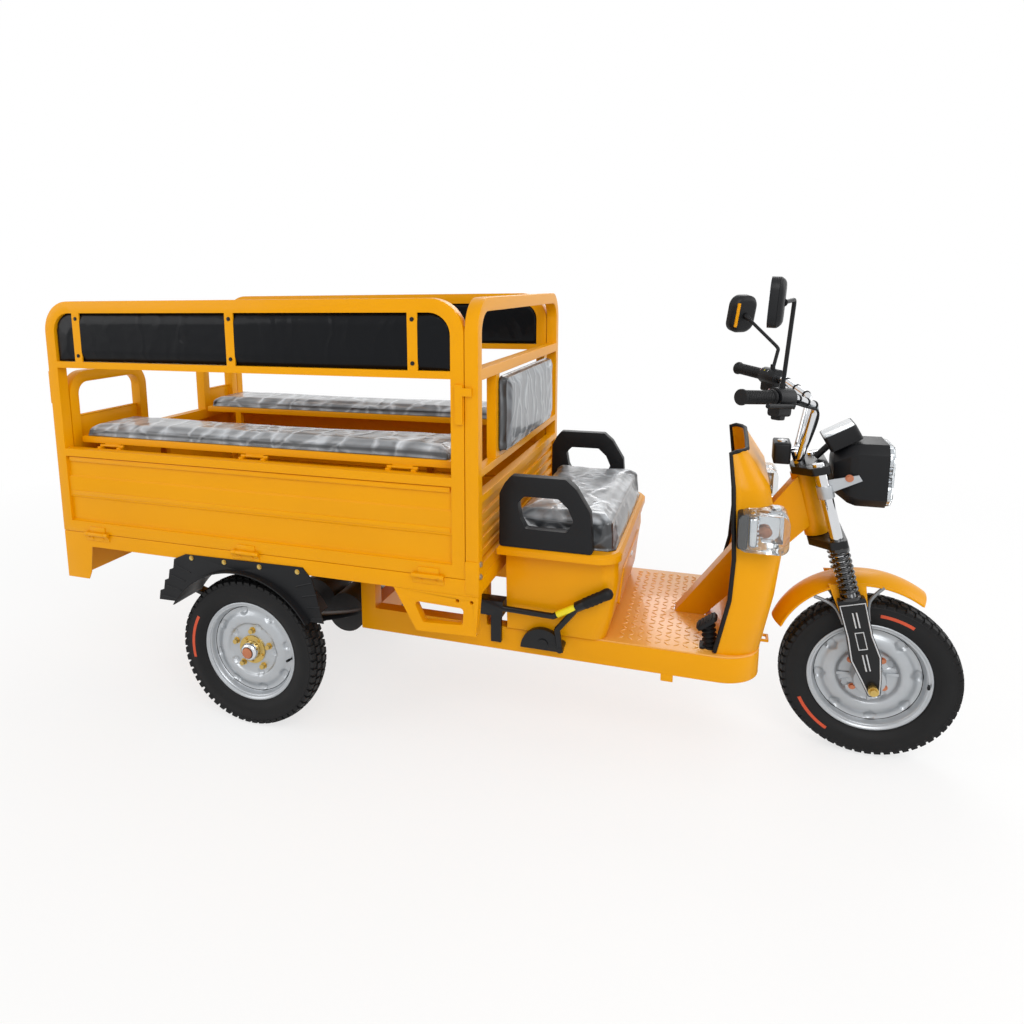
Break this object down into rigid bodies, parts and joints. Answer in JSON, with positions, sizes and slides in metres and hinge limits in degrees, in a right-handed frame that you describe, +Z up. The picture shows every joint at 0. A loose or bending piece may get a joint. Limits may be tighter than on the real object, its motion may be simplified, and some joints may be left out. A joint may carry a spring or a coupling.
{
  "type": "electric passenger and cargo tricycle",
  "caption": "Electric tricycle with an open bed between hinged side gates and a tailgate, fold-up benches, a driver's seat box, a leg shield and a steered front fork.",
  "frame": {"origin": "on the ground, midway along and across the whole vehicle", "axes": "+X forward, +Y to the vehicle's left, +Z up"},
  "size_m": [2.813, 1.12, 1.4214],
  "materials": {
    "yellow_paint": "gloss",
    "yellow_floor": "embossed",
    "black_paint": "satin",
    "black_plastic": "matte",
    "vinyl": "padded",
    "tyre": "matte",
    "silver_paint": "satin",
    "chrome": "polished",
    "zinc": "plated",
    "cast": "painted",
    "clear_lens": "clear",
    "pale_lens": "clear",
    "red_lens": "clear",
    "rubber": "matte",
    "battery_case": "matte"
  },
  "bodies": {
    "chassis": {"main_frame": "yellow_paint", "down_tube": "yellow_paint", "rear_rails": "yellow_paint", "step_brackets": "yellow_paint", "gate_hinge_leaves": "yellow_paint", "floor_plate": "yellow_floor", "leg_shield": "yellow_paint", "turn_lamps": "pale_lens", "seat_box": "yellow_paint", "battery_pack": "battery_case", "bed_base": "yellow_paint", "bed_front_frame": "yellow_paint", "driver_backrest": "vinyl", "tail_lamps": "red_lens", "rear_fenders": "black_plastic", "rear_axle": "cast", "drive_motor": "cast", "leaf_springs": "black_paint", "brake_pedal": "rubber", "hand_brake": "black_paint"},
    "steering": {"fork_legs": "black_paint", "fork_springs": "black_paint", "fork_tubes": "chrome", "fork_crown": "black_paint", "lamp_arms": "chrome", "headlamp": "black_plastic", "headlamp_lens": "clear_lens", "handlebar": "chrome", "grips": "rubber", "switch_clusters": "black_plastic", "mirrors": "black_plastic", "speedometer": "black_plastic", "ignition_box": "black_plastic", "front_fender": "yellow_paint", "front_axle": "zinc"},
    "front_wheel": {"front_tyre": "tyre", "front_rim": "silver_paint"},
    "rear_wheel_right": {"rear_tyre_right": "tyre", "rear_rim_right": "silver_paint"},
    "rear_wheel_left": {"rear_tyre_left": "tyre", "rear_rim_left": "silver_paint"},
    "side_gate_right": {"side_gate_right": "yellow_paint", "side_pads_right": "vinyl"},
    "side_gate_left": {"side_gate_left": "yellow_paint", "side_pads_left": "vinyl"},
    "bench_right": {"bench_frame_right": "yellow_paint", "bench_cushion_right": "vinyl"},
    "bench_left": {"bench_frame_left": "yellow_paint", "bench_cushion_left": "vinyl"},
    "tailgate": {"tailgate": "yellow_paint"},
    "seat_lid": {"seat_lid": "yellow_paint", "seat_cushion": "vinyl", "armrests": "black_plastic"}
  },
  "joints": [
    {"name": "steering", "type": "hinge", "parent": "chassis", "child": "steering", "pos_m": [1.11814, 0, 0.23297], "axis": [-0.2672, 0, 0.9636], "range_deg": [-40, 40]},
    {"name": "front_wheel", "type": "hinge", "parent": "steering", "child": "front_wheel", "pos_m": [1.1615, 0, 0.245], "axis": [0, 1, 0], "continuous": true},
    {"name": "seat_lid", "type": "hinge", "parent": "chassis", "child": "seat_lid", "pos_m": [0.4655, 0, 0.626], "axis": [0, 1, 0], "range_deg": [0, 75]},
    {"name": "tailgate", "type": "hinge", "parent": "chassis", "child": "tailgate", "pos_m": [-1.3995, 0, 0.597], "axis": [0, -1, 0], "range_deg": [0, 110]},
    {"name": "rear_wheel_right", "type": "hinge", "parent": "chassis", "child": "rear_wheel_right", "pos_m": [-0.6785, -0.474, 0.25], "axis": [0, 1, 0], "continuous": true},
    {"name": "side_gate_right", "type": "hinge", "parent": "chassis", "child": "side_gate_right", "pos_m": [-0.6525, -0.536, 0.597], "axis": [1, 0, 0], "range_deg": [0, 110]},
    {"name": "bench_right", "type": "hinge", "parent": "side_gate_right", "child": "bench_right", "pos_m": [-0.6385, -0.475, 0.894], "axis": [1, 0, 0], "range_deg": [0, 90]},
    {"name": "rear_wheel_left", "type": "hinge", "parent": "chassis", "child": "rear_wheel_left", "pos_m": [-0.6785, 0.474, 0.25], "axis": [0, 1, 0], "continuous": true},
    {"name": "side_gate_left", "type": "hinge", "parent": "chassis", "child": "side_gate_left", "pos_m": [-0.6525, 0.536, 0.597], "axis": [-1, 0, 0], "range_deg": [0, 110]},
    {"name": "bench_left", "type": "hinge", "parent": "side_gate_left", "child": "bench_left", "pos_m": [-0.6385, 0.475, 0.894], "axis": [-1, 0, 0], "range_deg": [0, 90]}
  ]
}
